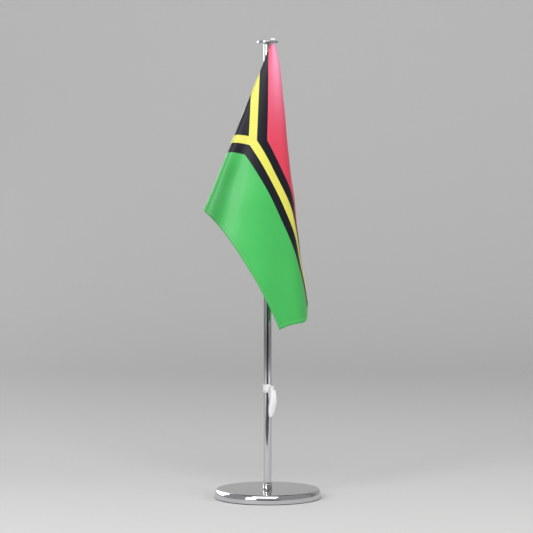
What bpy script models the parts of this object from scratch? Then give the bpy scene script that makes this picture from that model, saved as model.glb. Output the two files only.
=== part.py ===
"""Desk flag stand: a round chromed foot, a thin pole, a finial that swivels on it, and a small flag hung from one corner.

Metres, +Z up, front towards -Y. The origin is the centre of the resting face, on the pole's axis.
"""

import math

import bmesh
import bpy
from mathutils import Vector

COLLECTION = "desk_flag_stand"
ROUND_STEPS = 96
SMALL_STEPS = 48
MERGE = 0.00001
GAP = 0.0003
RUNNING_GAP = 0.00005

# Foot
BASE_RADIUS = 0.0500
BASE_TOP = 0.0090
BASE_BOTTOM = 0.0007
BASE_SHOULDER_WIDTH = 0.0030
BASE_SHOULDER_HEIGHT = 0.0032
BASE_LOWER_ROUND = 0.0008
PAD_RADIUS = 0.0460
PAD_THICKNESS = 0.0012
PAD_SIDES = 95
COUNTERBORE_RADIUS = 0.0060
COUNTERBORE_ROOF = 0.0054

# Screw that holds the pole
SCREW_RADIUS = 0.0020
SCREW_HOLE_RADIUS = 0.0022
SCREW_HEAD_RADIUS = 0.0036
SCREW_HEAD_BOTTOM = 0.0015
SCREW_HEAD_HEIGHT = 0.0024
SCREW_TOP = 0.0200
SOCKET_RADIUS = 0.0017
SOCKET_DEPTH = 0.0014
WASHER_RADIUS = 0.0045
WASHER_THICKNESS = 0.0008

# Pole
POLE_RADIUS = 0.00375
POLE_BORE_RADIUS = 0.0030
POLE_TOP = 0.4262
PLUG_RADIUS = 0.0028
PLUG_HEIGHT = 0.0140
COLLAR_RADIUS = 0.00420
COLLAR_HEIGHT = 0.0044
COLLAR_EDGE = 0.0005
COLLAR_CLEARANCE = 0.0001

# Finial
BUSH_HEIGHT = 0.0120
BUSH_GROOVE_RADIUS = 0.00215
BUSH_GROOVE_HEIGHT = 0.0012
BUSH_GROOVE_MIDDLE = 0.0050
DISC_RADIUS = 0.0100
DISC_THICKNESS = 0.0024
PIN_RADIUS = 0.0015
PIN_GROOVE_RADIUS = 0.00105
PIN_LENGTH = 0.0110
RING_RADIUS = 0.00165
RING_WIRE_RADIUS = 0.0003
RING_SWEEP = math.radians(310)
CORD_HOLE = Vector((0.0046, -0.0062))
CORD_HOLE_RADIUS = 0.0009
CORD_RADIUS = 0.0006
CORD_BEND = 0.0002
CORD_END = 0.0012
KNOT_SIZE = Vector((0.0054, 0.0046, 0.0026))

# Flag, as a flat cloth: the fly runs along the upper edge, the hoist down the side that hangs from the corner
HOIST = 0.1309
FLY = 0.2387
TAPE_WIDTH = 0.0070
TAPE_TOP = 0.0120
CLOTH_THICKNESS = 0.0003
CORNER_CUT = 0.0080
TAPE_GAP = 0.0008
DRAPE_STEPS = 120
DRAPE_STARTS_AT = math.radians(30)
DRAPE_DIRECTION = (0.0148, 0.1240, -0.6316)
HANG_POINT = Vector((0.00405, -0.0086, 0.4301))
FOLDS = (
    # where on the cloth (degrees from the upper edge), how wide (degrees), how far it turns (radians)
    (4.21, 1.09, 2.77),
    (8.66, 1.02, -3.28),
    (12.92, 1.11, 3.51),
    (15.58, 1.00, 0.20),
    (22.65, 1.50, 0.74),
    (35.52, 3.61, 0.73),
    (52.50, 1.39, 1.42),
    (68.99, 3.35, 2.82),
    (79.43, 4.06, -1.45),
)
BIAS_GIVE = 0.0731
BIAS_MIDDLE = 58.7
BIAS_WIDTH = 9.92
GATHER_REACH = 0.110
GATHERS = (
    # where on the cloth (degrees from the upper edge), and how far it is spread out at the top (mm in X and Y)
    (0.0, 1.2, -0.5),
    (4.5, 1.5, -0.2),
    (9.5, 2.5, 0.3),
    (15.3, 3.8, 0.7),
    (21.0, 4.8, 0.3),
    (25.0, 3.3, -1.0),
    (30.0, 1.1, -1.7),
    (40.0, 0.1, -1.7),
    (54.0, 0.8, -0.9),
    (62.0, 1.2, 0.2),
    (70.0, 0.4, 0.9),
    (80.0, -0.3, 0.7),
    (90.0, -0.6, 0.2),
)

# Tie
RIBBON_WIDTH = 0.0065
RIBBON_THICKNESS = 0.0005
LEAD_RADIUS = 0.0050
LEAD_DROP = 0.0005
LEAD_WRAP_TOP = 0.2860
LEAD_WRAP_BOTTOM = 0.2500
LEAD_START_ANGLE = math.radians(-70)
LEAD_END_ANGLE = math.radians(-270)
BAND_INNER_RADIUS = 0.00385
BAND_RADIUS = 0.00450
BAND_BOTTOM = 0.0982
BAND_TOP = 0.1080
TIE_KNOT_SIZE = Vector((0.0040, 0.0028, 0.0060))
TIE_KNOT_PLACE = Vector((0.0040, -0.0052, 0.1030))
TAIL_WIDTH = 0.0068
TAIL_TOP = Vector((0.0046, -0.0056, 0.0995))
TAIL_LENGTH = 0.0225
TAIL_TWIST = math.radians(55)


def clear_scene():
    for leftover in list(bpy.data.objects):
        bpy.data.objects.remove(leftover, do_unlink=True)


def new_collection(name):
    collection = bpy.data.collections.new(name)
    bpy.context.scene.collection.children.link(collection)
    return collection


def finish(name, colour, roughness, metallic):
    material = bpy.data.materials.new(name)
    material.use_nodes = True
    shader = material.node_tree.nodes["Principled BSDF"]
    shader.inputs["Base Color"].default_value = (*colour, 1.0)
    shader.inputs["Roughness"].default_value = roughness
    shader.inputs["Metallic"].default_value = metallic
    return material


def chrome(name):
    return finish(name, (0.80, 0.80, 0.81), 0.06, 1.0)


def steel(name):
    return finish(name, (0.55, 0.56, 0.57), 0.35, 1.0)


def brass(name):
    return finish(name, (0.78, 0.60, 0.30), 0.30, 1.0)


def foam(name):
    return finish(name, (0.05, 0.05, 0.05), 0.90, 0.0)


def green_cloth(name):
    return finish(name, (0.07, 0.45, 0.10), 0.55, 0.0)


def white_ribbon(name):
    return finish(name, (0.85, 0.86, 0.85), 0.60, 0.0)


def add_part(name, mesh, material, place=(0.0, 0.0, 0.0)):
    part = bpy.data.objects.new(name, mesh)
    part.location = place
    part.data.materials.append(material)
    PARTS.objects.link(part)
    return part


def add_cutter(name, mesh, place):
    cutter = bpy.data.objects.new(name, mesh)
    cutter.location = place
    cutter.hide_render = True
    cutter.display_type = "WIRE"
    CUTTERS.objects.link(cutter)
    return cutter


def rod_mesh(name, radius, height, steps):
    """An upright cylinder whose lower end is at its origin."""
    mesh = bpy.data.meshes.new(name)
    shape = bmesh.new()
    bmesh.ops.create_cone(
        shape, cap_ends=True, segments=steps, radius1=radius, radius2=radius, depth=height
    )
    bmesh.ops.translate(shape, verts=shape.verts, vec=(0.0, 0.0, height / 2))
    shape.to_mesh(mesh)
    shape.free()
    return mesh


def quarter_round(radius, height, width, drop, steps=6):
    """Points of an outer upper edge, from its flat top at radius - width down to its side at height - drop."""
    points = []
    for step in range(steps + 1):
        angle = math.pi / 2 * step / steps
        across = radius - width + width * math.sin(angle)
        points.append((across, height - drop + drop * math.cos(angle)))
    return points


def turned(name, outline, material, place=(0.0, 0.0, 0.0), steps=ROUND_STEPS, solid=False):
    """Turns (radius, height) points round Z. The outline runs down its outer side; a solid one starts and ends on the axis."""
    mesh = bpy.data.meshes.new(name)
    points = [(radius, 0.0, height) for radius, height in outline]
    edges = [(index, index + 1) for index in range(len(points) - 1)]
    if not solid:
        edges.append((len(points) - 1, 0))
    mesh.from_pydata(points, edges, [])
    part = add_part(name, mesh, material, place)
    screw = part.modifiers.new("turn", "SCREW")
    screw.steps = steps
    screw.render_steps = steps
    screw.use_merge_vertices = True
    screw.merge_threshold = MERGE
    screw.use_smooth_shade = True
    return part


def cut(part, cutter):
    boolean = part.modifiers.new("cut", "BOOLEAN")
    boolean.operation = "DIFFERENCE"
    boolean.object = cutter


def wire(name, points, radius, material, place=(0.0, 0.0, 0.0)):
    """A round wire through the points, with closed ends."""
    curve = bpy.data.curves.new(name, "CURVE")
    curve.dimensions = "3D"
    curve.bevel_depth = radius
    curve.bevel_resolution = 2
    curve.use_fill_caps = True
    spline = curve.splines.new("POLY")
    spline.points.add(len(points) - 1)
    for target, point in zip(spline.points, points):
        target.co = (*point, 1.0)
    return add_part(name, curve, material, place)


def ellipsoid(name, size, material, place, across=24, down=14):
    mesh = bpy.data.meshes.new(name)
    shape = bmesh.new()
    bmesh.ops.create_uvsphere(shape, u_segments=across, v_segments=down, radius=0.5)
    bmesh.ops.scale(shape, verts=shape.verts, vec=size)
    shape.to_mesh(mesh)
    shape.free()
    mesh.shade_smooth()
    return add_part(name, mesh, material, place)


def sheet(name, rows, thickness, material, place=(0.0, 0.0, 0.0)):
    """A cloth of even thickness over a grid of points, given as rows of equal length."""
    width = len(rows[0])
    points = [point for row in rows for point in row]
    faces = []
    for down in range(len(rows) - 1):
        for across in range(width - 1):
            corner = down * width + across
            faces.append((corner, corner + 1, corner + width + 1, corner + width))
    mesh = bpy.data.meshes.new(name)
    mesh.from_pydata(points, [], faces)
    part = add_part(name, mesh, material, place)
    solidify = part.modifiers.new("thickness", "SOLIDIFY")
    solidify.thickness = thickness
    solidify.offset = 0.0
    return part


def base_disc():
    outline = [(SCREW_HOLE_RADIUS, BASE_TOP)]
    outline += quarter_round(BASE_RADIUS, BASE_TOP, BASE_SHOULDER_WIDTH, BASE_SHOULDER_HEIGHT, 8)
    outline += [
        (BASE_RADIUS, BASE_BOTTOM + BASE_LOWER_ROUND),
        (BASE_RADIUS - BASE_LOWER_ROUND, BASE_BOTTOM),
        (PAD_RADIUS + GAP, BASE_BOTTOM),
        (PAD_RADIUS + GAP, PAD_THICKNESS + GAP),
        (COUNTERBORE_RADIUS, PAD_THICKNESS + GAP),
        (COUNTERBORE_RADIUS, COUNTERBORE_ROOF),
        (SCREW_HOLE_RADIUS, COUNTERBORE_ROOF),
    ]
    return turned("base_disc", outline, chrome("base_chrome"))


def base_pad():
    """A full round pad, stuck on over the screw's head."""
    mesh = rod_mesh("base_pad", PAD_RADIUS, PAD_THICKNESS, PAD_SIDES)
    return add_part("base_pad", mesh, foam("pad_foam"))


def base_washer():
    top = COUNTERBORE_ROOF - GAP
    outline = [
        (SCREW_HOLE_RADIUS, top),
        (WASHER_RADIUS, top),
        (WASHER_RADIUS, top - WASHER_THICKNESS),
        (SCREW_HOLE_RADIUS, top - WASHER_THICKNESS),
    ]
    return turned("base_washer", outline, steel("washer_steel"), steps=SMALL_STEPS)


def base_screw():
    head_top = SCREW_HEAD_HEIGHT
    tip = SCREW_TOP - SCREW_HEAD_BOTTOM
    outline = [
        (0.0, tip),
        (SCREW_RADIUS - 0.0005, tip),
        (SCREW_RADIUS, tip - 0.0007),
        (SCREW_RADIUS, head_top),
        (SCREW_HEAD_RADIUS, head_top),
        (SCREW_HEAD_RADIUS, 0.0004),
        (SCREW_HEAD_RADIUS - 0.0004, 0.0),
        (0.0, 0.0),
    ]
    place = (0.0, 0.0, SCREW_HEAD_BOTTOM)
    screw = turned("base_screw", outline, steel("screw_steel"), place, SMALL_STEPS, solid=True)
    socket = rod_mesh("socket_cutter", SOCKET_RADIUS, 2 * SOCKET_DEPTH, 6)
    cut(screw, add_cutter("socket_cutter", socket, (0.0, 0.0, SCREW_HEAD_BOTTOM - SOCKET_DEPTH)))
    return screw


def foot_plug():
    outline = [
        (SCREW_HOLE_RADIUS, PLUG_HEIGHT),
        (PLUG_RADIUS - 0.0003, PLUG_HEIGHT),
        (PLUG_RADIUS, PLUG_HEIGHT - 0.0004),
        (PLUG_RADIUS, 0.0),
        (SCREW_HOLE_RADIUS, 0.0),
    ]
    place = (0.0, 0.0, BASE_TOP + GAP)
    return turned("foot_plug", outline, steel("plug_steel"), place, SMALL_STEPS)


def foot_collar():
    bore = POLE_RADIUS + COLLAR_CLEARANCE
    outline = [(bore, COLLAR_HEIGHT)]
    outline += quarter_round(COLLAR_RADIUS, COLLAR_HEIGHT, COLLAR_RADIUS - bore, COLLAR_EDGE, 4)[1:]
    outline += [(COLLAR_RADIUS, 0.0), (bore, 0.0)]
    place = (0.0, 0.0, BASE_TOP + GAP)
    return turned("foot_collar", outline, chrome("collar_chrome"), place)


def pole_tube():
    height = POLE_TOP - BASE_TOP - GAP
    outline = [
        (POLE_BORE_RADIUS, height),
        (POLE_RADIUS - 0.0002, height),
        (POLE_RADIUS, height - 0.0002),
        (POLE_RADIUS, 0.0),
        (POLE_BORE_RADIUS, 0.0),
    ]
    return turned("pole_tube", outline, chrome("pole_chrome"), (0.0, 0.0, BASE_TOP + GAP))


def top_bush():
    bore = PIN_RADIUS + RUNNING_GAP
    groove_top = BUSH_GROOVE_MIDDLE + BUSH_GROOVE_HEIGHT / 2
    groove_bottom = BUSH_GROOVE_MIDDLE - BUSH_GROOVE_HEIGHT / 2
    outline = [
        (bore, BUSH_HEIGHT),
        (PLUG_RADIUS, BUSH_HEIGHT),
        (PLUG_RADIUS, 0.0),
        (bore, 0.0),
        (bore, groove_bottom),
        (BUSH_GROOVE_RADIUS, groove_bottom),
        (BUSH_GROOVE_RADIUS, groove_top),
        (bore, groove_top),
    ]
    place = (0.0, 0.0, POLE_TOP - BUSH_HEIGHT)
    return turned("top_bush", outline, brass("bush_brass"), place, SMALL_STEPS)


def finial_disc():
    """The swivelling plate and its pin, turned in one piece. Its origin is on the plate's underside."""
    rim = DISC_THICKNESS / 2
    groove_middle = BUSH_GROOVE_MIDDLE - BUSH_HEIGHT - GAP
    groove_half = BUSH_GROOVE_HEIGHT / 2
    outline = [(0.0, DISC_THICKNESS)]
    outline += quarter_round(DISC_RADIUS, DISC_THICKNESS, rim, rim, 6)
    lower_round = quarter_round(DISC_RADIUS, DISC_THICKNESS, rim, rim, 6)[:-1]
    outline += [(across, DISC_THICKNESS - height) for across, height in reversed(lower_round)]
    outline += [
        (PIN_RADIUS, 0.0),
        (PIN_RADIUS, groove_middle + groove_half),
        (PIN_GROOVE_RADIUS, groove_middle + groove_half),
        (PIN_GROOVE_RADIUS, groove_middle - groove_half),
        (PIN_RADIUS, groove_middle - groove_half),
        (PIN_RADIUS, 0.0005 - PIN_LENGTH),
        (PIN_RADIUS - 0.0004, -PIN_LENGTH),
        (0.0, -PIN_LENGTH),
    ]
    place = (0.0, 0.0, POLE_TOP + GAP)
    disc = turned("finial_disc", outline, chrome("finial_chrome"), place, SMALL_STEPS, solid=True)
    hole = rod_mesh("cord_hole_cutter", CORD_HOLE_RADIUS, 3 * DISC_THICKNESS, 16)
    hole_place = (CORD_HOLE.x, CORD_HOLE.y, POLE_TOP + GAP - DISC_THICKNESS)
    cut(disc, add_cutter("cord_hole_cutter", hole, hole_place))
    return disc


def retaining_ring():
    points = []
    for step in range(25):
        angle = math.pi / 2 + RING_SWEEP * (step / 24 - 0.5)
        points.append((RING_RADIUS * math.cos(angle), RING_RADIUS * math.sin(angle), 0.0))
    place = (0.0, 0.0, POLE_TOP - BUSH_HEIGHT + BUSH_GROOVE_MIDDLE)
    return wire("retaining_ring", points, RING_WIRE_RADIUS, steel("ring_steel"), place)


def stop_knot():
    disc_top = POLE_TOP + GAP + DISC_THICKNESS
    place = (CORD_HOLE.x, CORD_HOLE.y, disc_top + GAP + KNOT_SIZE.z / 2)
    return ellipsoid("stop_knot", KNOT_SIZE, white_ribbon("knot_white"), place)


def top_cord():
    """The cord from the knot down through the plate to the flag's corner."""
    top = POLE_TOP + 1.5 * GAP + DISC_THICKNESS
    drop = POLE_TOP - CORD_BEND - top
    corner = HANG_POINT + Vector((0.0008, 0.0, CORD_END - CORNER_CUT))
    points = [(0.0, 0.0, 0.0), (0.0, 0.0, drop)]
    points.append((corner.x - CORD_HOLE.x, corner.y - CORD_HOLE.y, corner.z - top))
    place = (CORD_HOLE.x, CORD_HOLE.y, top)
    return wire("top_cord", points, CORD_RADIUS, white_ribbon("cord_white"), place)


def fold_turn(angle):
    """How sharply the cloth turns at this angle from its upper edge, in radians of turn per radian."""
    total = 0.0
    for where, width, turn in FOLDS:
        spread = math.radians(width)
        offset = (angle - math.radians(where)) / spread
        total += turn * math.exp(-0.5 * offset * offset) / (spread * math.sqrt(2 * math.pi))
    return total


def step_direction(direction, heading, turn, step):
    """Moves a unit direction along its heading by step radians, turning the heading as it goes."""
    side = direction.cross(heading)
    half_direction = direction + 0.5 * step * heading
    half_heading = heading + 0.5 * step * (turn * side - direction)
    half_side = half_direction.cross(half_heading)
    direction = (direction + step * half_heading).normalized()
    heading = heading + step * (turn * half_side - half_direction)
    heading = (heading - direction * heading.dot(direction)).normalized()
    return direction, heading


def drape_directions(steps):
    """Unit directions of the cloth's straight lines from the hang point, from its upper edge to its hoist edge.

    Directions one radian apart on the cloth stay one radian apart along this path, so the cloth isn't stretched.
    """
    lean, tilt, slant = DRAPE_DIRECTION
    start = Vector((math.sin(lean) * math.cos(tilt), -math.sin(tilt), -math.cos(lean) * math.cos(tilt)))
    sideways = Vector((-math.cos(lean), 0.0, -math.sin(lean)))
    heading = math.cos(slant) * sideways + math.sin(slant) * start.cross(sideways)
    step = math.pi / 2 / steps
    first = round(DRAPE_STARTS_AT / step)
    directions = {first: start}
    for way in (1, -1):
        index, current, current_heading = first, start, heading
        while 0 <= index + way <= steps:
            turn = fold_turn((index + 0.5 * way) * step)
            current, current_heading = step_direction(current, current_heading, turn, way * step)
            index += way
            directions[index] = current
    return [directions[index] for index in range(steps + 1)]


def bias_stretch(angle):
    """The cloth's own weight pulls it out a little along the bias of its weave."""
    offset = (math.degrees(angle) - BIAS_MIDDLE) / BIAS_WIDTH
    return 1.0 + BIAS_GIVE * math.exp(-offset * offset)


def gather(angle, reach):
    """How far the cloth is spread out here by the bunching at its hung corner."""
    degrees = math.degrees(angle)
    for (low, *low_shift), (high, *high_shift) in zip(GATHERS, GATHERS[1:]):
        if degrees <= high:
            break
    share = min(1.0, (degrees - low) / (high - low))
    shift = Vector((*low_shift, 0.0)).lerp(Vector((*high_shift, 0.0)), share)
    return 0.001 * shift * math.exp(-((reach / GATHER_REACH) ** 2))


def cloth_point(directions, along_fly, down_hoist):
    """Where a point of the flat cloth hangs."""
    angle = math.atan2(down_hoist, along_fly)
    place = angle / (math.pi / 2) * (len(directions) - 1)
    index = min(int(place), len(directions) - 2)
    direction = directions[index].lerp(directions[index + 1], place - index).normalized()
    reach = math.hypot(along_fly, down_hoist)
    return HANG_POINT + reach * bias_stretch(angle) * direction + gather(angle, reach)


def flag_cloth(directions):
    """The draped cloth: straight lines from the hang point, each cut off at the cloth's own edge."""
    inner_edge = TAPE_WIDTH + TAPE_GAP
    last_angle = math.atan2(HOIST, inner_edge) - math.radians(0.3)
    rows = []
    for step in range(DRAPE_STEPS + 1):
        angle = last_angle * step / DRAPE_STEPS
        across, down = math.cos(angle), math.sin(angle)
        longest = min(FLY / across, HOIST / max(down, 1e-6))
        shortest = max(CORNER_CUT, inner_edge / across)
        row = []
        for part in range(6):
            reach = shortest + (longest - shortest) * part / 5
            row.append(cloth_point(directions, reach * across, reach * down))
        rows.append(row)
    return sheet("flag_cloth", rows, CLOTH_THICKNESS, green_cloth("cloth_green"))


def hoist_tape(directions):
    """The heading tape beside the cloth's hoist edge."""
    rows = []
    for down in range(13):
        reach = TAPE_TOP + (HOIST - TAPE_TOP) * down / 12
        row = [cloth_point(directions, TAPE_WIDTH * across / 2, reach) for across in range(3)]
        rows.append(row)
    return sheet("hoist_tape", rows, CLOTH_THICKNESS, white_ribbon("tape_white"))


def on_pole(radius, angle, height):
    return Vector((radius * math.cos(angle), radius * math.sin(angle), height))


def tie_lead(directions):
    """The ribbon's run from the tape's lower end, round the pole's left and straight down behind it."""
    wrap = []
    for step in range(15):
        share = step / 14
        angle = LEAD_START_ANGLE + (LEAD_END_ANGLE - LEAD_START_ANGLE) * share
        height = LEAD_WRAP_TOP + (LEAD_WRAP_BOTTOM - LEAD_WRAP_TOP) * share
        wrap.append((angle, height))
    wrap.append((LEAD_END_ANGLE, (LEAD_WRAP_BOTTOM + BAND_TOP) / 2))
    wrap.append((LEAD_END_ANGLE, BAND_TOP + GAP))
    sides = (-1, -0.5, 0, 0.5, 1)
    half = RIBBON_WIDTH / 2
    round_pole = []
    for angle, height in wrap:
        row = []
        for side in sides:
            turned_by = side * half / LEAD_RADIUS
            row.append(on_pole(LEAD_RADIUS, angle + turned_by, height - 0.3 * side * half))
        round_pole.append(row)
    drop = Vector((0.0, 0.0, -LEAD_DROP))
    at_tape = []
    for side in sides:
        across = TAPE_WIDTH / 2 - side * half
        at_tape.append(cloth_point(directions, across, HOIST) + drop)
    rows = []
    for step in range(4):
        rows.append([top.lerp(low, step / 4) for top, low in zip(at_tape, round_pole[0])])
    return sheet("tie_lead", rows + round_pole, RIBBON_THICKNESS, white_ribbon("lead_white"))


def tie_band():
    outline = [
        (BAND_INNER_RADIUS, BAND_TOP),
        (BAND_RADIUS, BAND_TOP),
        (BAND_RADIUS, BAND_BOTTOM),
        (BAND_INNER_RADIUS, BAND_BOTTOM),
    ]
    place = (0.0, 0.0, BAND_BOTTOM)
    local = [(radius, height - BAND_BOTTOM) for radius, height in outline]
    return turned("tie_band", local, white_ribbon("band_white"), place, SMALL_STEPS)


def tie_knot():
    knot = ellipsoid("tie_knot", TIE_KNOT_SIZE, white_ribbon("tie_knot_white"), TIE_KNOT_PLACE)
    knot.rotation_euler.z = math.radians(40)
    return knot


def tie_tail():
    """The free end, which twists as it hangs."""
    rows = []
    for step in range(13):
        share = step / 12
        twist = TAIL_TWIST * share
        middle = Vector((0.0, -0.0010 * math.sin(math.pi * share), -TAIL_LENGTH * share))
        across = Vector((math.cos(twist), math.sin(twist), 0.0)) * TAIL_WIDTH / 2
        rows.append([middle - across, middle, middle + across])
    return sheet("tie_tail", rows, RIBBON_THICKNESS, white_ribbon("tail_white"), TAIL_TOP)


clear_scene()
PARTS = new_collection(COLLECTION)
CUTTERS = new_collection("cutters")
base_disc()
base_pad()
base_washer()
base_screw()
foot_plug()
foot_collar()
pole_tube()
top_bush()
finial_disc()
retaining_ring()
stop_knot()
top_cord()
DIRECTIONS = drape_directions(DRAPE_STEPS * 4)
flag_cloth(DIRECTIONS)
hoist_tape(DIRECTIONS)
tie_lead(DIRECTIONS)
tie_band()
tie_knot()
tie_tail()
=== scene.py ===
"""Looks for the desk flag stand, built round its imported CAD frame. Metres, +Z up, front towards -Y."""

import math

import bmesh
import bpy
import numpy as np
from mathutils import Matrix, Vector


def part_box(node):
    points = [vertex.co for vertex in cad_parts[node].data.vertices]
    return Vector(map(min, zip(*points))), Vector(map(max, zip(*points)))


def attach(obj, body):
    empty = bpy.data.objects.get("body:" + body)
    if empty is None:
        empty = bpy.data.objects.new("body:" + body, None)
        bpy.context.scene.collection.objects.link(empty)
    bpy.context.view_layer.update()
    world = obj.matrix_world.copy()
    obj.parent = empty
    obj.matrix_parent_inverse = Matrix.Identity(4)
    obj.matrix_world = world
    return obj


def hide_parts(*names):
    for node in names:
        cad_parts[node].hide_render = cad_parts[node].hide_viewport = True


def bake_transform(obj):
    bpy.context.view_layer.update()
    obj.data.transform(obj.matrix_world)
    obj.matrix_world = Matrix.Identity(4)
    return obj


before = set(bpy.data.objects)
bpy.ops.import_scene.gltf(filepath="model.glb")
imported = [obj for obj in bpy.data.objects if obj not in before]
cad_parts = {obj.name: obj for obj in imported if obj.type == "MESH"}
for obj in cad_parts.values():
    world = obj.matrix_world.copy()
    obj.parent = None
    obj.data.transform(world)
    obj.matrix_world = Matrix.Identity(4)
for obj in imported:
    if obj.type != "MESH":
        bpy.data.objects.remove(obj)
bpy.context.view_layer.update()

# The flat cloth: u runs along the fly from the hoist, v down from the upper edge
HOIST = 0.1309
FLY = 0.2387
TAPE_WIDTH = 0.0070
CLOTH_THICKNESS = 0.00028
HEM_WIDTH = 0.0032
HEM_THICKNESS = 0.00022
CLOTH_TOP = 0.0042

# The gap that the CAD keeps between neighbours
GAP = 0.0003

# How it drapes: straight lines from a point just above its hung corner, turned at the folds
HANG_POINT = np.array([0.00405, -0.0086, 0.4301])
DRAPE_STARTS_AT = 30.0
DRAPE_DIRECTION = (0.0148, 0.1240, -0.6316)
DRAPE_SAMPLES = 1441
FOLDS = (
    # where on the cloth (degrees from the upper edge), how wide (degrees), how far it turns (radians)
    (4.21, 1.09, 2.77),
    (8.66, 1.02, -3.28),
    (12.92, 1.11, 3.51),
    (15.58, 1.00, 0.20),
    (22.65, 1.50, 0.74),
    (35.52, 3.61, 0.73),
    (52.50, 1.39, 1.42),
    (68.99, 3.35, 2.82),
    (79.43, 4.06, -1.45),
)
BIAS_GIVE = 0.0731
BIAS_MIDDLE = 58.7
BIAS_WIDTH = 9.92
GATHER_REACH = 0.110
PINCH = 0.55
PINCH_REACH = 0.016
RIPPLE_HEIGHT = 0.00045
VALLEY_DEPTH = 0.0030
VALLEY_MIDDLE = 46.5
VALLEY_WIDTH = 3.4
GATHERS = np.array(
    # where on the cloth (degrees from the upper edge), and how far it is spread at the top (mm in X and Y)
    [
        (0.0, 1.2, -0.5),
        (4.5, 1.5, -0.2),
        (9.5, 2.5, 0.3),
        (15.3, 3.8, 0.7),
        (21.0, 4.8, 0.3),
        (25.0, 3.3, -1.0),
        (30.0, 1.1, -1.7),
        (40.0, 0.1, -1.7),
        (54.0, 0.8, -0.9),
        (62.0, 1.2, 0.2),
        (70.0, 0.4, 0.9),
        (80.0, -0.3, 0.7),
        (90.0, -0.6, 0.2),
    ]
)


# The print, in metres on the flat cloth. An arm is a line that starts this far from a long edge,
# at the hoist, and slants to the middle; a bar runs along the middle.
BORDER_START = 0.0039
BORDER_SLOPE = 0.634
BORDER_HALF_WIDTH = 0.0120
BAND_START = 0.0123
BAND_SLOPE = 0.672
BAND_HALF_WIDTH = 0.0038
TRIANGLE_START = 0.0200
TRIANGLE_SLOPE = 0.693
RING_CENTRE = 0.0290
RING_RADIUS = 0.0140
RING_WIDTH = 0.0032
PRINT_EDGE = 0.00018
CLOTH_RED = (0.76, 0.052, 0.100, 1.0)
CLOTH_GREEN = (0.060, 0.50, 0.105, 1.0)
CLOTH_BLACK = (0.008, 0.009, 0.014, 1.0)
CLOTH_YELLOW = (0.78, 0.755, 0.12, 1.0)

# A painted satin highlight: a paler pink mixed into the red near the hung corner, in place of the sheen
# there.
# Its middle (radians from the upper edge), how fast it fades to the sides and down the cloth, and its
# strength
PAINTED_SHEEN_PINK = (1.0, 0.50, 0.76, 1.0)
PAINTED_SHEEN_ANGLE = 0.45
PAINTED_SHEEN_ANGLE_FALLOFF = 30.0
PAINTED_SHEEN_REACH_FALLOFF = 330.0
PAINTED_SHEEN_STRENGTH = 0.75

# Painted shade: a darker tone along one crease, standing in for the shade in the fold, from this far below
# the hung corner
CREASE_SHADE_ANGLE = 0.865
CREASE_SHADE_FALLOFF = 330.0
CREASE_SHADE_FROM = 0.115
CREASE_SHADE_FADE = 0.006
CREASE_SHADE_STRENGTH = 0.30

THREAD_PITCH = 0.00042


# ---------------------------------------------------------------- materials


class Nodes:
    """A short way to write a material's node tree."""

    def __init__(self, name):
        self.material = bpy.data.materials.new(name)
        self.material.use_nodes = True
        self.tree = self.material.node_tree
        self.shader = self.tree.nodes["Principled BSDF"]
        self.output = self.tree.nodes["Material Output"]

    def node(self, kind, **inputs):
        node = self.tree.nodes.new("ShaderNode" + kind)
        for name, value in inputs.items():
            self.feed(node.inputs[name.replace("_", " ")], value)
        return node

    def feed(self, socket, value):
        if isinstance(value, bpy.types.NodeSocket):
            self.tree.links.new(value, socket)
        else:
            socket.default_value = value

    def math(self, operation, *values):
        node = self.tree.nodes.new("ShaderNodeMath")
        node.operation = operation
        for socket, value in zip(node.inputs, values):
            self.feed(socket, value)
        return node.outputs[0]

    def above(self, value, limit, soft):
        """0 below the limit and 1 above it, over a short ramp."""
        node = self.node("MapRange")
        node.interpolation_type = "SMOOTHSTEP"
        self.feed(node.inputs["Value"], self.math("SUBTRACT", value, limit))
        node.inputs["From Min"].default_value = -soft
        node.inputs["From Max"].default_value = soft
        return node.outputs["Result"]

    def mix(self, share, low, high):
        node = self.tree.nodes.new("ShaderNodeMix")
        node.data_type = "RGBA"
        self.feed(node.inputs["Factor"], share)
        self.feed(node.inputs[6], low)
        self.feed(node.inputs[7], high)
        return node.outputs[2]

    def coordinates(self, kind="Object"):
        return self.node("TexCoord").outputs[kind]

    def scaled(self, vector, scale):
        node = self.node("Mapping")
        self.feed(node.inputs["Vector"], vector)
        node.inputs["Scale"].default_value = scale
        return node.outputs["Vector"]

    def noise(self, vector, scale, detail=4.0):
        node = self.node("TexNoise", Vector=vector, Scale=scale, Detail=detail, Roughness=0.5)
        return node.outputs["Fac"]

    def wave(self, value, period):
        """A 0 to 1 wave of a length."""
        turns = self.math("MULTIPLY", value, 2 * math.pi / period)
        return self.math("MULTIPLY_ADD", self.math("SINE", turns), 0.5, 0.5)

    def bump(self, height, distance, strength=1.0):
        node = self.node("Bump", Height=height, Distance=distance, Strength=strength)
        self.feed(self.shader.inputs["Normal"], node.outputs["Normal"])

    def squared(self, value):
        return self.math("POWER", value, 2.0)

    def blend_surface(self, share, other):
        """Show a share of another shader in place of the main one."""
        both = self.tree.nodes.new("ShaderNodeMixShader")
        self.feed(both.inputs[0], share)
        self.tree.links.new(self.shader.outputs["BSDF"], both.inputs[1])
        self.tree.links.new(other, both.inputs[2])
        self.tree.links.new(both.outputs["Shader"], self.output.inputs["Surface"])

    def set(self, **inputs):
        for name, value in inputs.items():
            self.feed(self.shader.inputs[name.replace("_", " ")], value)
        return self.material


def chrome(name, tint=(0.655, 0.655, 0.67, 1.0)):
    """Polished plating with faint wiping marks and a little haze."""
    look = Nodes(name)
    place = look.coordinates()
    haze = look.noise(place, 60.0)
    wiping = look.noise(look.scaled(place, (900.0, 900.0, 40.0)), 1.0, 2.0)
    roughness = look.math("MULTIPLY_ADD", haze, 0.05, 0.035)
    roughness = look.math("MULTIPLY_ADD", wiping, 0.02, roughness)
    look.bump(wiping, 0.000002, 0.25)
    return look.set(Base_Color=tint, Metallic=1.0, Roughness=roughness)


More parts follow.
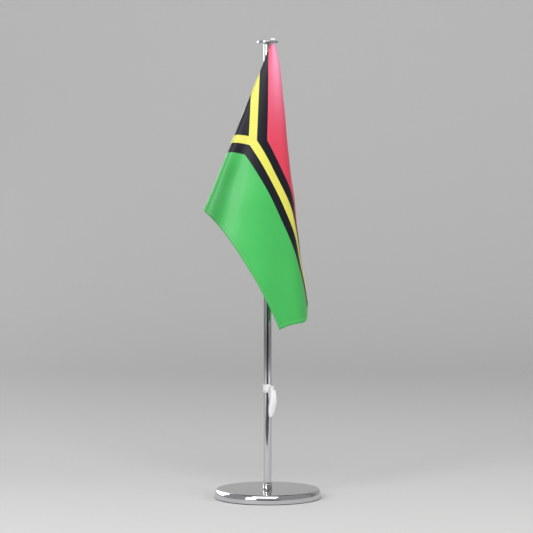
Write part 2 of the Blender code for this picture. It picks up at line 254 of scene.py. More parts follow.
def dull_steel(name):
    look = Nodes(name)
    place = look.coordinates()
    turning = look.wave(look.node("SeparateXYZ", Vector=place).outputs["Z"], 0.00035)
    spots = look.noise(place, 900.0)
    colour = look.mix(spots, (0.46, 0.47, 0.48, 1.0), (0.62, 0.62, 0.61, 1.0))
    look.bump(look.math("ADD", turning, spots), 0.00001, 0.5)
    roughness = look.math("MULTIPLY_ADD", spots, 0.2, 0.25)
    return look.set(Base_Color=colour, Metallic=1.0, Roughness=roughness)


def brass(name):
    look = Nodes(name)
    spots = look.noise(look.coordinates(), 700.0)
    colour = look.mix(spots, (0.62, 0.44, 0.18, 1.0), (0.82, 0.64, 0.32, 1.0))
    look.bump(spots, 0.00001, 0.4)
    return look.set(Base_Color=colour, Metallic=1.0, Roughness=0.28)


def foam(name):
    """Closed-cell anti-slip foam."""
    look = Nodes(name)
    cells = look.node("TexVoronoi", Vector=look.coordinates(), Scale=1400.0).outputs["Distance"]
    colour = look.mix(cells, (0.018, 0.018, 0.019, 1.0), (0.06, 0.06, 0.062, 1.0))
    look.bump(cells, 0.0002, 0.8)
    return look.set(Base_Color=colour, Roughness=0.92)


def white_weave(name, period=0.0007, tint=(0.80, 0.81, 0.81, 1.0)):
    """White polyester with cross ribs, for ribbon, tape and cord. The mesh's UVs are in metres."""
    look = Nodes(name)
    flat = look.node("SeparateXYZ", Vector=look.coordinates("UV"))
    ribs = look.wave(flat.outputs["Y"], period)
    warp = look.wave(flat.outputs["X"], period * 0.45)
    weave = look.math("MULTIPLY_ADD", warp, 0.35, look.math("MULTIPLY", ribs, 0.65))
    dirt = look.noise(look.coordinates(), 160.0)
    shade = look.math("MULTIPLY_ADD", dirt, -0.12, 1.05)
    colour = look.mix(weave, tuple(0.86 * part for part in tint[:3]) + (1.0,), tint)
    dark = look.node("HueSaturation", Color=colour, Value=shade).outputs["Color"]
    look.bump(weave, 0.00006, 0.6)
    return look.set(
        Base_Color=dark,
        Roughness=0.55,
        Sheen_Weight=0.35,
        Sheen_Roughness=0.4,
        Subsurface_Weight=0.15,
        Subsurface_Radius=(0.001, 0.001, 0.001),
    )


def print_and_painted_sheen(look, along, down):
    """The print at a place on the flat cloth, with the painted pink highlight near the hung corner mixed in,
    and how much of it is black ink.
    """
    middle = HOIST / 2
    from_middle = look.math("ABSOLUTE", look.math("SUBTRACT", down, middle))
    from_edge = look.math("SUBTRACT", middle, from_middle)

    def inside_arm(start, slope):
        """1 on the hoist side of a line that starts on the hoist and slants to the middle."""
        line = look.math("MULTIPLY_ADD", along, slope, start)
        return look.above(from_edge, line, PRINT_EDGE)

    def inside_bar(half_width):
        return look.above(half_width, from_middle, PRINT_EDGE)

    border = inside_arm(BORDER_START, BORDER_SLOPE)
    black_part = look.math("MAXIMUM", border, inside_bar(BORDER_HALF_WIDTH))
    band = inside_arm(BAND_START, BAND_SLOPE)
    yellow_part = look.math("MAXIMUM", band, inside_bar(BAND_HALF_WIDTH))
    triangle = inside_arm(TRIANGLE_START, TRIANGLE_SLOPE)

    ring_u = look.squared(look.math("SUBTRACT", along, RING_CENTRE))
    from_centre = look.math("POWER", look.math("ADD", ring_u, look.squared(from_middle)), 0.5)
    from_ring = look.math("ABSOLUTE", look.math("SUBTRACT", from_centre, RING_RADIUS))
    ring = look.above(RING_WIDTH / 2, from_ring, PRINT_EDGE)

    field = look.mix(look.above(down, middle, PRINT_EDGE), CLOTH_RED, CLOTH_GREEN)
    # Painted highlight: paler pink near the hung corner, standing in for the satin's sheen
    field = look.mix(painted_corner_sheen(look, along, down), field, PAINTED_SHEEN_PINK)
    colour = look.mix(black_part, field, CLOTH_BLACK)
    colour = look.mix(yellow_part, colour, CLOTH_YELLOW)
    colour = look.mix(triangle, colour, CLOTH_BLACK)
    colour = look.mix(ring, colour, CLOTH_YELLOW)
    black_lines = look.math("SUBTRACT", black_part, yellow_part)
    black_field = look.math("SUBTRACT", triangle, ring)
    return colour, look.math("MAXIMUM", black_lines, black_field)


def painted_corner_sheen(look, along, down):
    """The share of painted pink highlight, strongest at the hung corner."""
    from_corner = look.math("ADD", look.squared(along), look.squared(down))
    off_angle = look.math("SUBTRACT", look.math("ARCTAN2", down, along), PAINTED_SHEEN_ANGLE)
    reach_part = look.math("MULTIPLY", from_corner, PAINTED_SHEEN_REACH_FALLOFF)
    falloff = look.math("MULTIPLY_ADD", look.squared(off_angle), PAINTED_SHEEN_ANGLE_FALLOFF, reach_part)
    fade = look.math("EXPONENT", look.math("MULTIPLY", falloff, -1.0))
    return look.math("MULTIPLY", fade, PAINTED_SHEEN_STRENGTH)


def painted_crease_shade(look, along, down):
    """How much painted shade darkens the cloth along its crease."""
    from_corner = look.math("ADD", look.squared(along), look.squared(down))
    off_crease = look.math("SUBTRACT", look.math("ARCTAN2", down, along), CREASE_SHADE_ANGLE)
    fade = look.math("EXPONENT", look.math("MULTIPLY", look.squared(off_crease), -CREASE_SHADE_FALLOFF))
    low_down = look.above(from_corner, CREASE_SHADE_FROM**2, CREASE_SHADE_FADE)
    return look.math("MULTIPLY", look.math("MULTIPLY", fade, low_down), CREASE_SHADE_STRENGTH)


def printed_satin(name):
    """The flag's print, worked out from the flat cloth's own coordinates, on a fine satin weave, with a
    painted highlight near the hung corner and painted shade along one crease.
    """
    look = Nodes(name)
    flat = look.node("SeparateXYZ", Vector=look.coordinates("UV"))
    along = flat.outputs["X"]
    down = flat.outputs["Y"]
    print_and_sheen_colour, inked = print_and_painted_sheen(look, along, down)

    uneven = look.noise(look.coordinates("UV"), 90.0)
    warp = look.wave(along, THREAD_PITCH)
    weft = look.wave(look.math("MULTIPLY_ADD", along, 0.35, down), THREAD_PITCH)
    weave = look.math("MULTIPLY", warp, weft)
    slub = look.noise(look.scaled(look.coordinates("UV"), (40.0, 2600.0, 1.0)), 1.0, 2.0)
    value = look.math("MULTIPLY_ADD", weave, 0.10, 0.93)
    value = look.math("MULTIPLY_ADD", uneven, 0.08, value)
    value = look.math("MULTIPLY_ADD", slub, 0.08, look.math("SUBTRACT", value, 0.08))
    # Painted shade along one crease darkens the cloth there
    value = look.math("SUBTRACT", value, painted_crease_shade(look, along, down))
    colour = look.node("HueSaturation", Color=print_and_sheen_colour, Value=value).outputs["Color"]
    look.bump(look.math("MULTIPLY_ADD", slub, 0.5, weave), 0.00004, 0.5)
    surface = look.set(
        Base_Color=colour,
        Roughness=look.math("MULTIPLY_ADD", uneven, 0.10, 0.38),
        Specular_IOR_Level=look.math("MULTIPLY_ADD", inked, -0.25, 0.60),
        Specular_Tint=(0.92, 0.90, 1.0, 1.0),
        Sheen_Weight=0.04,
        Sheen_Roughness=0.35,
    )
    through = look.node("BsdfTranslucent", Color=colour)
    look.blend_surface(0.22, through.outputs["BSDF"])
    return surface


# ---------------------------------------------------------------- mesh helpers


def add_piece(name, mesh, material, body):
    piece = bpy.data.objects.new(name, mesh)
    bpy.context.scene.collection.objects.link(piece)
    mesh.materials.append(material)
    mesh.shade_smooth()
    if body:
        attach(piece, body)
    return piece


def turned_mesh(name, outline, steps):
    """Turns (radius, height) points round Z. The outline is closed unless it starts and ends on the axis."""
    shape = bmesh.new()
    points = [shape.verts.new((radius, 0.0, height)) for radius, height in outline]
    pairs = list(zip(points, points[1:]))
    if outline[0][0] > 0:
        pairs.append((points[-1], points[0]))
    edges = [shape.edges.new(pair) for pair in pairs]
    bmesh.ops.spin(
        shape, geom=points + edges, cent=(0, 0, 0), axis=(0, 0, 1), angle=2 * math.pi,
        steps=steps, use_duplicate=False, use_merge=True,
    )
    bmesh.ops.remove_doubles(shape, verts=shape.verts, dist=1e-6)
    bmesh.ops.recalc_face_normals(shape, faces=shape.faces)
    mesh = bpy.data.meshes.new(name)
    shape.to_mesh(mesh)
    shape.free()
    mesh.shade_smooth()
    mesh.set_sharp_from_angle(angle=math.radians(25.0))
    return mesh


def arc(centre_radius, centre_height, width, height, start, end, steps=8):
    """Points of a rounded edge, from one angle to the other in degrees, 0 being straight out."""
    points = []
    for step in range(steps + 1):
        angle = math.radians(start + (end - start) * step / steps)
        points.append((centre_radius + width * math.cos(angle), centre_height + height * math.sin(angle)))
    return points


def grid_mesh(name, points, flat, closed_round=False):
    """A mesh over a grid of points (rows x columns x 3), with the flat coordinates as its UVs."""
    rows, columns = points.shape[:2]
    faces = []
    for row in range(rows - 1):
        for column in range(columns - (0 if closed_round else 1)):
            after = (column + 1) % columns
            faces.append((row * columns + column, row * columns + after,
                          (row + 1) * columns + after, (row + 1) * columns + column))
    mesh = bpy.data.meshes.new(name)
    mesh.from_pydata([tuple(point) for point in points.reshape(-1, 3)], [], faces)
    layer = mesh.uv_layers.new(name="flat")
    flat_points = flat.reshape(-1, 2)
    for loop in mesh.loops:
        layer.data[loop.index].uv = flat_points[loop.vertex_index]
    return mesh


def thicken(piece, thickness):
    solid = piece.modifiers.new("thickness", "SOLIDIFY")
    solid.thickness = thickness
    solid.offset = 0.0


# ---------------------------------------------------------------- drape


def fold_turn(degrees):
    """How sharply the cloth turns at an angle from its upper edge, in radians of turn per radian."""
    total = 0.0
    for where, width, turn in FOLDS:
        offset = (degrees - where) / width
        total += turn * math.exp(-0.5 * offset * offset) / (math.radians(width) * math.sqrt(2 * math.pi))
    return total


def drape_directions():
    """Unit directions of the cloth's lines, evenly spaced from its upper edge to its hoist edge."""
    lean, tilt, slant = DRAPE_DIRECTION
    start = np.array([math.sin(lean) * math.cos(tilt), -math.sin(tilt), -math.cos(lean) * math.cos(tilt)])
    sideways = np.array([-math.cos(lean), 0.0, -math.sin(lean)])
    first_heading = math.cos(slant) * sideways + math.sin(slant) * np.cross(start, sideways)
    step = math.pi / 2 / (DRAPE_SAMPLES - 1)
    first = round(DRAPE_STARTS_AT / 90 * (DRAPE_SAMPLES - 1))
    directions = np.zeros((DRAPE_SAMPLES, 3))
    directions[first] = start
    for way in (1, -1):
        direction, heading, index = start, first_heading, first
        while 0 <= index + way < DRAPE_SAMPLES:
            turn = fold_turn((index + 0.5 * way) * 90 / (DRAPE_SAMPLES - 1))
            move = way * step
            side = np.cross(direction, heading)
            half_direction = direction + 0.5 * move * heading
            half_heading = heading + 0.5 * move * (turn * side - direction)
            half_side = np.cross(half_direction, half_heading)
            direction = direction + move * half_heading
            direction = direction / np.linalg.norm(direction)
            heading = heading + move * (turn * half_side - half_direction)
            heading = heading - direction * heading.dot(direction)
            heading = heading / np.linalg.norm(heading)
            index += way
            directions[index] = direction
    return directions


DIRECTIONS = drape_directions()


def bell(value, centre, width):
    return np.exp(-(((value - centre) / width) ** 2))


def rise(value, low, high):
    share = np.clip((value - low) / (high - low), 0.0, 1.0)
    return share * share * (3 - 2 * share)


def hang(u, v):
    """Where points of the flat cloth hang."""
    reach = np.hypot(u, v)
    degrees = np.degrees(np.arctan2(v, u))
    place = degrees / 90 * (DRAPE_SAMPLES - 1)
    samples = range(DRAPE_SAMPLES)
    direction = np.stack([np.interp(place, samples, DIRECTIONS[:, axis]) for axis in range(3)], -1)
    direction /= np.linalg.norm(direction, axis=-1, keepdims=True)
    pulled = reach * (1.0 + BIAS_GIVE * bell(degrees, BIAS_MIDDLE, BIAS_WIDTH))
    # The doubled hems weigh the lower corners down, and the fly's lower corner curls a little.
    low_end = rise(reach, 0.190, 0.262)
    pulled += reach * low_end * (0.030 * bell(degrees, 21.0, 3.6) - 0.009 * bell(degrees, 29.5, 3.0))
    point = HANG_POINT + pulled[..., None] * direction
    point[..., 0] -= 0.0016 * low_end * bell(degrees, 29.0, 4.0)
    gathered = 0.001 * np.exp(-((reach / GATHER_REACH) ** 2))
    pinched = gathered * (1.0 - PINCH * np.exp(-((reach / PINCH_REACH) ** 2)))
    point[..., 0] += pinched * np.interp(degrees, GATHERS[:, 0], GATHERS[:, 1])
    point[..., 1] += gathered * np.interp(degrees, GATHERS[:, 0], GATHERS[:, 2])
    return point


def cloth_normal(u, v):
    """The cloth's unit normal, away from the viewer on its front panel."""
    small = 0.0002
    along = hang(u + small, v) - hang(u - small, v)
    down = hang(u, v + small) - hang(u, v - small)
    normal = np.cross(along, down)
    return normal / np.linalg.norm(normal, axis=-1, keepdims=True)


def ripples(u, v):
    """Soft unevenness of the hanging cloth, in metres along its normal."""
    reach = np.hypot(u, v)
    grow = rise(reach, 0.03, 0.16)
    waves = np.sin(u * 62 + v * 31 + 0.6)
    waves = waves + 0.7 * np.sin(v * 96 - u * 22 + 2.1) + 0.4 * np.sin(u * 141 + v * 77)
    degrees = np.degrees(np.arctan2(v, u))
    valley = VALLEY_DEPTH * rise(reach, 0.085, 0.135) * bell(degrees, VALLEY_MIDDLE, VALLEY_WIDTH)
    return RIPPLE_HEIGHT * grow * waves + valley


def cloth_surface(u, v, lift=0.0):
    return hang(u, v) + (lift + ripples(u, v))[..., None] * cloth_normal(u, v)


def flag_cloth():
    """The whole cloth as one sheet, with grid lines on its hems."""
    last = math.degrees(math.atan2(HOIST, TAPE_WIDTH * 0.8))
    degrees = np.linspace(0.0, last, 361)
    corner = math.degrees(math.atan2(HOIST, FLY))
    degrees[np.abs(degrees - corner).argmin()] = corner
    angle = np.radians(degrees)
    longest = np.minimum(FLY / np.cos(angle), HOIST / np.maximum(np.sin(angle), 1e-9))
    rounded = CLOTH_TOP + 0.0013 * np.minimum(1.0, ((degrees - 33.0) / 14.0) ** 2)
    shortest = np.maximum(rounded, TAPE_WIDTH * 0.8 / np.cos(angle) * rise(degrees, 60, 85))
    share = np.linspace(0.0, 1.0, 73)
    reach = shortest[:, None] + (longest - shortest)[:, None] * share[None]
    u = reach * np.cos(angle)[:, None]
    v = reach * np.sin(angle)[:, None]
    mesh = grid_mesh("flag_cloth_print", cloth_surface(u, v), np.stack([u, v], -1))
    cloth = add_piece("flag_cloth_print", mesh, SATIN, "flag")
    thicken(cloth, CLOTH_THICKNESS)
    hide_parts("flag_cloth")


def hem_lines():
    """The three hemmed edges, each as a function from (share along it, distance in from it) to (u, v)."""
    top_start = 0.020
    low_start = TAPE_WIDTH + 0.001

    def upper(share, inward):
        return top_start + (FLY - top_start) * share, inward + 0 * share

    def fly(share, inward):
        return FLY - inward + 0 * share, HOIST * share

    def lower(share, inward):
        return low_start + (FLY - low_start) * share, HOIST - inward + 0 * share

    return {"upper": upper, "fly": fly, "lower": lower}


def flag_hems():
    """The turned-in hem, a strip on each face of the cloth along three edges."""
    for name, line in hem_lines().items():
        for side, lift in (("front", -0.00030), ("back", 0.00030)):
            across = np.linspace(0.00005, HEM_WIDTH, 5)
            share, inward = np.meshgrid(np.linspace(0, 1, 181), across, indexing="ij")
            u, v = line(share, inward)
            lifts = np.where(inward < 0.0002, lift * 0.3, lift)
            lifts = np.where(inward > HEM_WIDTH - 0.0002, lift * 0.6, lifts)
            points = cloth_surface(u, v, lifts)
            mesh = grid_mesh(f"flag_hem_{name}_{side}", points, np.stack([u, v], -1))
            hem = add_piece(f"flag_hem_{name}_{side}", mesh, SATIN, "flag")
            thicken(hem, HEM_THICKNESS)


def stitches(name, line, inward, material, spacing=0.0026, length=0.0018):
    """A row of lockstitches on both faces of the cloth, each a short bowed thread."""
    probe = np.linspace(0, 1, 400)
    u, v = line(probe, inward + 0 * probe)
    total = np.concatenate([[0], np.cumsum(np.hypot(np.diff(u), np.diff(v)))])
    shape = bmesh.new()
    count = int(total[-1] / spacing)
    for side in (-1, 1):
        for index in range(count):
            middle = (index + 0.5) * spacing
            spots = np.interp([middle - length / 2, middle, middle + length / 2], total, probe)
            u, v = line(spots, inward + 0 * spots)
            base = hang(u, v)
            normal = cloth_normal(u, v)
            lift = ripples(u, v)[:, None] + side * np.array([[0.00035], [0.00052], [0.00035]])
            add_thread(shape, base + lift * normal, 0.00011)
    mesh = bpy.data.meshes.new(name)
    shape.to_mesh(mesh)
    shape.free()
    return add_piece(name, mesh, material, "flag")


def add_thread(shape, points, radius, sides=6):
    """A short closed tube through the points, thinner at its ends."""
    points = [Vector(point) for point in points]
    rings = []
    along = (points[-1] - points[0]).normalized()
    across = along.orthogonal().normalized()
    other = along.cross(across)
    sizes = [0.45] + [1.0] * (len(points) - 2) + [0.45]
    for point, size in zip(points, sizes):
        ring = []
        for side in range(sides):
            turn = 2 * math.pi * side / sides
            outwards = across * math.cos(turn) + other * math.sin(turn)
            ring.append(shape.verts.new(point + radius * size * outwards))
        rings.append(ring)
    for low, high in zip(rings, rings[1:]):
        for side in range(sides):
            after = (side + 1) % sides
            shape.faces.new((low[side], low[after], high[after], high[side]))
    shape.faces.new(list(reversed(rings[0])))
    shape.faces.new(rings[-1])


def hoist_tape():
    """The heading tape, folded round the cloth's hoist edge and sewn through."""
    across = np.array([TAPE_WIDTH, TAPE_WIDTH * 0.5, 0.0006, 0.0, 0.0006, TAPE_WIDTH * 0.5, TAPE_WIDTH])
    lift = np.array([-0.42, -0.45, -0.30, 0.0, 0.30, 0.45, 0.42]) * 0.001
    down = np.linspace(0.0075, HOIST + 0.0004, 121)
    v, u = np.meshgrid(down, across, indexing="ij")
    lifts = np.broadcast_to(lift, u.shape)
    normal = cloth_normal(np.maximum(u, 0.0009), v)
    points = hang(u, v) + (lifts + ripples(u, v))[..., None] * normal
    width = np.cumsum(np.concatenate([[0], np.abs(np.diff(across)) + 0.0002]))
    flat = np.stack([np.broadcast_to(width, u.shape), v], -1)
    mesh = grid_mesh("hoist_tape_folded", points, flat)
    tape = add_piece("hoist_tape_folded", mesh, WHITE, "flag")
    thicken(tape, 0.00025)
    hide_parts("hoist_tape")

    def line(share, inward):
        return inward + 0 * share, 0.012 + (HOIST - 0.014) * share

    stitches("hoist_tape_seam", line, TAPE_WIDTH - 0.0012, THREAD, 0.0024, 0.0017)


def flag():
    flag_cloth()
    flag_hems()
    for name, line in hem_lines().items():
        stitches(f"flag_seam_{name}", line, HEM_WIDTH - 0.0006, HEM_THREAD)
    hoist_tape()


# ---------------------------------------------------------------- metal


def chrome_piece(name, outline, steps, body, node):
    """A turned and polished piece in place of a CAD node."""
    piece = add_piece(name, turned_mesh(name, outline, steps), CHROME, body)
    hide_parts(node)


def base():
    low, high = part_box("base_disc")
    radius, top, bottom = high.x, high.z, low.z
    pad_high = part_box("base_pad")[1]
    pad_top = pad_high.z + GAP
    pad_radius = pad_high.x + GAP
    screw_hole = 0.0022
    counterbore = 0.0060
    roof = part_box("base_washer")[1].z + GAP
    outline = [(screw_hole, top)]
    outline += arc(radius - 0.0030, top - 0.0052, 0.0030, 0.0052, 90, 0, 24)
    outline += arc(radius - 0.0008, bottom + 0.0008, 0.0008, 0.0008, 0, -90, 6)
    outline += [(pad_radius, bottom), (pad_radius, pad_top)]
    outline += [(counterbore, pad_top), (counterbore, roof), (screw_hole, roof)]
    chrome_piece("base_disc_polished", outline, 288, "stand", "base_disc")


def pole():
    low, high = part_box("pole_tube")
    radius = high.x
    bore = 0.0030
    outline = [(bore, high.z)]
    outline += arc(radius - 0.0003, high.z - 0.0003, 0.0003, 0.0003, 90, 0, 4)
    outline += [(radius, low.z), (bore, low.z)]
    chrome_piece("pole_tube_polished", outline, 128, "stand", "pole_tube")


def collar():
    low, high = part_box("foot_collar")
    radius = high.x
    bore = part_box("pole_tube")[1].x + 0.0001
    outline = arc(radius - 0.0003, high.z - 0.0004, 0.0003, 0.0004, 90, 0, 6)
    outline += arc(radius - 0.0001, low.z + 0.0001, 0.0001, 0.0001, 0, -90, 2)
    outline += [(bore, low.z), (bore, high.z)]
    chrome_piece("foot_collar_polished", outline, 128, "stand", "foot_collar")


def finial():
    low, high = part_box("finial_disc")
    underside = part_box("pole_tube")[1].z + GAP
    radius = high.x
    pin = 0.0015
    edge = 0.0006
    outline = [(0.0, high.z)]
    outline += arc(radius - edge, high.z - edge, edge, edge, 90, 0, 8)
    outline += arc(radius - edge, underside + edge, edge, edge, 0, -90, 8)
    outline += [(pin, underside), (pin, low.z + 0.0005), (pin - 0.0004, low.z), (0.0, low.z)]
    chrome_piece("finial_disc_polished", outline, 160, "flag", "finial_disc")


def hidden_hardware():
    for name in ("base_screw", "base_washer", "foot_plug", "retaining_ring"):
        set_material(name, STEEL)
    set_material("top_bush", brass("bush_brass"))
    set_material("base_pad", foam("pad_foam"))


def set_material(node, material):
    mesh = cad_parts[node].data
    mesh.materials.clear()
    mesh.materials.append(material)


# ---------------------------------------------------------------- cord, ribbon


def tube(name, points, radius, material, body, sides=12, twist_ribs=0.0):
    """A round cord through the points, as a closed mesh with UVs along it."""
    points = np.array(points, float)
    along = np.gradient(points, axis=0)
    along /= np.linalg.norm(along, axis=1, keepdims=True)
    lengths = np.concatenate([[0], np.cumsum(np.linalg.norm(np.diff(points, axis=0), axis=1))])
    reference = np.array([0.0, 0.0, 1.0]) if abs(along[0][2]) < 0.9 else np.array([1.0, 0.0, 0.0])
    across = np.cross(along[0], reference)
    rings, flat = [], []
    for point, direction, length in zip(points, along, lengths):
        across = across - direction * across.dot(direction)
        across /= np.linalg.norm(across)
        other = np.cross(direction, across)
        turns = np.linspace(0, 2 * math.pi, sides, endpoint=False)
        swell = 1.0 + twist_ribs * np.sin(3 * turns + length / radius * 1.3)
        outwards = np.cos(turns)[:, None] * across + np.sin(turns)[:, None] * other
        rings.append(point + radius * swell[:, None] * outwards)
        flat.append(np.stack([turns * radius, 0 * turns + length], -1))
    mesh = grid_mesh(name, np.array(rings), np.array(flat), closed_round=True)
    shape = bmesh.new()
    shape.from_mesh(mesh)
    bmesh.ops.holes_fill(shape, edges=shape.edges, sides=0)
    bmesh.ops.recalc_face_normals(shape, faces=shape.faces)
    shape.to_mesh(mesh)
    shape.free()
    return add_piece(name, mesh, material, body)


def smooth_path(points, samples):
    """A Catmull-Rom curve through the points."""
    points = np.array(points, float)
    padded = np.vstack([2 * points[0] - points[1], points, 2 * points[-1] - points[-2]])
    result = []
    for place in np.linspace(0, len(points) - 1, samples):
        index = min(int(place), len(points) - 2)
        share = place - index
        before, start, end, after = padded[index : index + 4]
        result.append(
            0.5 * (2 * start + (end - before) * share
                   + (2 * before - 5 * start + 4 * end - after) * share**2
                   + (3 * start - before - 3 * end + after) * share**3)
        )
    return np.array(result)


def cord():
    """The hanging cord with its stop knot on the plate."""
    low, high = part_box("stop_knot")
    middle = (low + high) / 2
    size = high - low
    turns = np.linspace(0, 2 * math.pi, 90)
    knot = np.stack([
        middle.x + 0.0004 + 0.26 * size.x * (np.sin(turns) + 0.9 * np.sin(2 * turns)) / 1.35,
        middle.y + 0.26 * size.y * (np.cos(turns) - 0.9 * np.cos(2 * turns)) / 1.35,
        low.z + 0.0009 - 0.12 * size.z * np.sin(3 * turns),
    ], -1)
    piece = tube("stop_knot_tied", knot, 0.00075, CORD, "flag", twist_ribs=0.06)
    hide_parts("stop_knot")
    cord_low, cord_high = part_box("top_cord")
    top_x = low.x / 2 + high.x / 2
    top_y = middle.y
    corner = HANG_POINT + np.array([0.0010, 0.0, -0.0075])
    path = smooth_path([
        (top_x, top_y, middle.z),
        (top_x, top_y, cord_high.z - 0.0024),
        ((top_x + corner[0]) / 2, (top_y + corner[1]) / 2 + 0.0003, cord_low.z + 0.0012),
        tuple(corner),
    ], 30)
    piece = tube("top_cord_braided", path, 0.0006, CORD, "flag", twist_ribs=0.06)
    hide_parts("top_cord")


def ribbon(name, path, across, body, camber=0.0, thickness=0.00032):
    """A flat ribbon: a path, and the direction and half width of its crosswise line at each point."""
    path = np.array(path, float)
    across = np.array(across, float)
    sides = np.linspace(-1, 1, 13)
    lengths = np.concatenate([[0], np.cumsum(np.linalg.norm(np.diff(path, axis=0), axis=1))])
    along = np.gradient(path, axis=0)
    normal = np.cross(along, across)
    normal /= np.linalg.norm(normal, axis=1, keepdims=True)
    half = np.linalg.norm(across, axis=1)
    points = (path[:, None] + sides[None, :, None] * across[:, None]
              + camber * (1 - sides**2)[None, :, None] * normal[:, None])
    flat = np.stack([sides[None] * half[:, None], np.broadcast_to(lengths[:, None], (len(path), 13))], -1)
    piece = add_piece(name, grid_mesh(name, points, flat), WHITE, body)
    thicken(piece, thickness)
    return piece


def tie_band():
    """Two turns of ribbon round the pole, the upper one lapping the lower."""
    low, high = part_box("tie_band")
    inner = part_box("pole_tube")[1].x
    height = high.z - low.z
    path, across = [], []
    for share in np.linspace(0, 1, 121):
        turn = math.radians(-60) + share * 4 * math.pi
        radius = inner + 0.00022 + 0.00034 * share + 0.00004 * math.sin(5 * turn)
        lap = low.z + 0.0034 + (height - 0.0067) * share + 0.0003 * math.sin(turn * 1.5 + 1.0)
        path.append((radius * math.cos(turn), radius * math.sin(turn), lap))
        across.append((0.0, 0.0, 0.0034 - 0.0002 * math.sin(turn * 2)))
    band = ribbon("tie_band_wrapped", path, across, "tie")
    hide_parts("tie_band")


def tie_knot():
    """A flat overhand knot pulled tight at the right of the pole, with a narrow loop left hanging."""
    low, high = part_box("tie_knot")
    middle = np.array((low + high) / 2)
    turns = np.linspace(0, 2 * math.pi, 61)
    path = np.stack([
        middle[0] + 0.0017 * np.sin(turns),
        middle[1] + 0.0009 * np.cos(turns),
        middle[2] + 0.0004 * np.sin(turns + 0.5),
    ], -1)
    half = 0.0027 + 0.0002 * np.cos(3 * turns)
    across = np.stack([0.0003 * np.sin(2 * turns), 0.0003 * np.cos(turns), half], -1)
    knot = ribbon("tie_knot_tight", path, across, "tie", thickness=0.0004)
    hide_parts("tie_knot")
    loop = smooth_path([
        (middle[0] - 0.0026, middle[1] + 0.0001, low.z + 0.0010),
        (middle[0] - 0.0024, middle[1] - 0.0006, low.z - 0.0030),
        (middle[0] - 0.0021, middle[1] - 0.0006, low.z - 0.0062),
        (middle[0] - 0.0014, middle[1] - 0.0001, low.z - 0.0110),
    ], 33)
    sides = np.tile(np.array([0.0005, 0.0007, 0.0]), (33, 1))
    ribbon("tie_knot_loop", loop, sides, "tie", thickness=0.0003)


def tie_tail():
    """The ribbon's free end, curling a little as it hangs, with a slanted cut."""
    low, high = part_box("tie_tail")
    centre_x = (low.x + high.x) / 2
    centre_y = (low.y + high.y) / 2
    count = 49
    share = np.linspace(0, 1, count)
    path = smooth_path([
        (centre_x + 0.0002, centre_y + 0.0003, high.z + 0.0030),
        (centre_x + 0.0008, centre_y - 0.0004, high.z - 0.0030),
        (centre_x + 0.0007, centre_y - 0.0006, high.z - 0.0075),
        (centre_x - 0.0004, centre_y - 0.0004, high.z - 0.0140),
        (centre_x - 0.0011, centre_y + 0.0003, low.z + 0.0006),
    ], count)
    half_at = (0, 0.15, 0.35, 0.65, 0.88, 1.0)
    half = np.interp(share, half_at, (0.0026, 0.0028, 0.0030, 0.0036, 0.0031, 0.0022))
    twist = np.radians(np.interp(share, (0, 0.4, 1.0), (-14.0, 8.0, 24.0)))
    slant = 0.0011 * rise(share, 0.85, 1.0)
    across = np.stack([half * np.cos(twist), half * np.sin(twist), slant], -1)
    tail = ribbon("tie_tail_hanging", path, across, "tie", camber=0.0008)
    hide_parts("tie_tail")


def tie_lead():
    """The ribbon from the tape's lower end, round the pole's left and straight down behind it."""
    tape_end = hang(np.array([TAPE_WIDTH / 2]), np.array([HOIST]))[0]
    band_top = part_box("tie_band")[1].z
    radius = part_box("tie_lead")[1].y - 0.0002
    start_turn, end_turn = math.radians(-70), math.radians(-270)
    wrap_top, wrap_bottom = 0.286, 0.250
    half = 0.0031
    flat_on = np.array([-0.0030, 0.0, 0.0])
    path = [tape_end + np.array([0, 0, 0.0030]), tape_end - np.array([0, 0, 0.0030])]
    across = [np.array([-0.0030, 0.0004, 0.0]), np.array([-0.0030, 0.0004, 0.0002])]
    for share in np.linspace(0, 1, 25):
        turn = start_turn + (end_turn - start_turn) * share
        height = wrap_top + (wrap_bottom - wrap_top) * share
        path.append(np.array([radius * math.cos(turn), radius * math.sin(turn), height]))
        slanted = half * np.array([0.6 * math.sin(turn), -0.6 * math.cos(turn), -0.75])
        settled = rise(share, 0.6, 1.0)
        across.append(slanted * (1 - settled) + flat_on * settled)
    for height in np.linspace(wrap_bottom - 0.005, band_top - 0.004, 30):
        path.append(np.array([0.0, radius, height]))
        across.append(np.array([-half, 0.0, 0.0]))
    lead = ribbon("tie_lead_ribbon", path, across, None)
    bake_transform(lead)
    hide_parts("tie_lead")


# ---------------------------------------------------------------- studio


def painted(look, colour, roughness):
    grain = look.noise(look.coordinates(), 40.0)
    low = tuple(0.985 * part for part in colour[:3]) + (1.0,)
    return look.set(Base_Color=look.mix(grain, low, colour), Roughness=roughness)


def sweep_paper():
    """Pale paper that a camera standing behind the sheet sees through."""
    look = Nodes("sweep_paper")
    painted(look, (0.58, 0.58, 0.575, 1.0), 0.8)
    facing = look.node("NewGeometry")
    clear = look.node("BsdfTransparent")
    look.blend_surface(facing.outputs["Backfacing"], clear.outputs["BSDF"])
    return look.material


def sweep():
    """Floor and backdrop in one curved sheet."""
    front, bend, half_width, top, radius = -6.0, 1.2, 6.0, 5.0, 0.9
    profile = [(front, 0.0), (bend, 0.0)]
    for step in range(1, 13):
        angle = math.radians(90 * step / 12)
        profile.append((bend + radius * math.sin(angle), radius - radius * math.cos(angle)))
    profile.append((bend + radius, top))
    points = np.array([[(x, y, z) for x in (-half_width, half_width)] for y, z in profile])
    mesh = grid_mesh("studio_sweep", points, points[..., :2])
    sheet = bpy.data.objects.new("studio_sweep", mesh)
    bpy.context.scene.collection.objects.link(sheet)
    mesh.materials.append(sweep_paper())
    mesh.shade_smooth()


def aim(holder, place, look_at):
    holder.location = place
    holder.rotation_euler = (Vector(look_at) - Vector(place)).to_track_quat("-Z", "Y").to_euler()
    bpy.context.scene.collection.objects.link(holder)


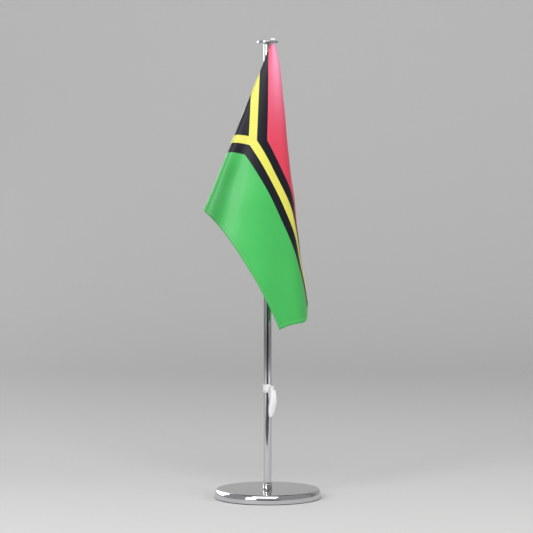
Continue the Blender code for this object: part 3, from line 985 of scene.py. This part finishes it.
def card(name, place, look_at, width, height, material):
    """A sheet beside the scene that only shows in reflections."""
    x, y = width / 2, height / 2
    mesh = bpy.data.meshes.new(name)
    mesh.from_pydata([(-x, -y, 0), (x, -y, 0), (x, y, 0), (-x, y, 0)], [], [(0, 1, 2, 3)])
    mesh.materials.append(material)
    sheet = bpy.data.objects.new(name, mesh)
    sheet.visible_camera = False
    sheet.visible_diffuse = False
    sheet.visible_shadow = False
    aim(sheet, place, look_at)
    return sheet


def lamp(name, place, look_at, width, height, watts):
    light = bpy.data.lights.new(name, "AREA")
    light.shape = "RECTANGLE"
    light.size = width
    light.size_y = height
    light.energy = watts
    holder = bpy.data.objects.new(name, light)
    aim(holder, place, look_at)
    return holder


def studio():
    sweep()
    world = bpy.data.worlds.new("studio_grey")
    world.use_nodes = True
    sky = world.node_tree.nodes["Background"]
    sky.inputs["Color"].default_value = (0.40, 0.40, 0.405, 1.0)
    sky.inputs["Strength"].default_value = 0.85
    bpy.context.scene.world = world
    middle = (0.0, 0.0, 0.25)
    lamp("key_left", (-1.35, -1.73, 1.02), middle, 0.9, 1.15, 24)
    side = lamp("side_left", (-1.09, 1.17, 0.72), middle, 1.7, 1.1, 14)
    side.visible_camera = False
    side.visible_diffuse = False
    fill = lamp("fill_right", (1.7, -1.2, 1.0), middle, 1.0, 1.4, 23)
    fill.visible_glossy = False
    lamp("front_top", (-0.2, -1.45, 1.70), middle, 1.9, 0.9, 29)
    black = painted(Nodes("card_black"), (0.012, 0.012, 0.012, 1.0), 0.9)
    grey = painted(Nodes("card_grey"), (0.10, 0.095, 0.09, 1.0), 0.9)
    card("dark_card", (0.20, -3.3, 0.12), middle, 3.1, 0.70, black)
    floor_card = card("dark_floor_card", (-0.45, -2.1, 0.003), (-0.45, -2.1, 0.0), 1.5, 3.4, black)
    floor_card.rotation_euler.z = math.radians(-17)
    card("dark_ceiling", (0.0, 0.9, 2.6), middle, 2.6, 1.6, grey)


def camera():
    data = bpy.data.cameras.new("view")
    data.sensor_width = 36.0
    data.lens = 186.4
    holder = bpy.data.objects.new("view", data)
    holder.location = (-0.00103, -2.58, 0.3738)
    holder.rotation_euler = (math.radians(90 - 3.452), 0.0, 0.0)
    bpy.context.scene.collection.objects.link(holder)
    bpy.context.scene.camera = holder
    bpy.context.scene.view_settings.view_transform = "Standard"


CHROME = chrome("polished_chrome")
STEEL = dull_steel("zinc_steel")
WHITE = white_weave("ribbon_white", tint=(0.67, 0.68, 0.68, 1.0))
CORD = white_weave("cord_white", 0.0006)
THREAD = white_weave("thread_white", 0.0004, (0.74, 0.76, 0.74, 1.0))
HEM_THREAD = white_weave("thread_grey_green", 0.0004, (0.40, 0.60, 0.42, 1.0))
SATIN = printed_satin("printed_satin")

base()
pole()
collar()
finial()
hidden_hardware()
cord()
flag()
tie_band()
tie_knot()
tie_tail()
tie_lead()
studio()
camera()
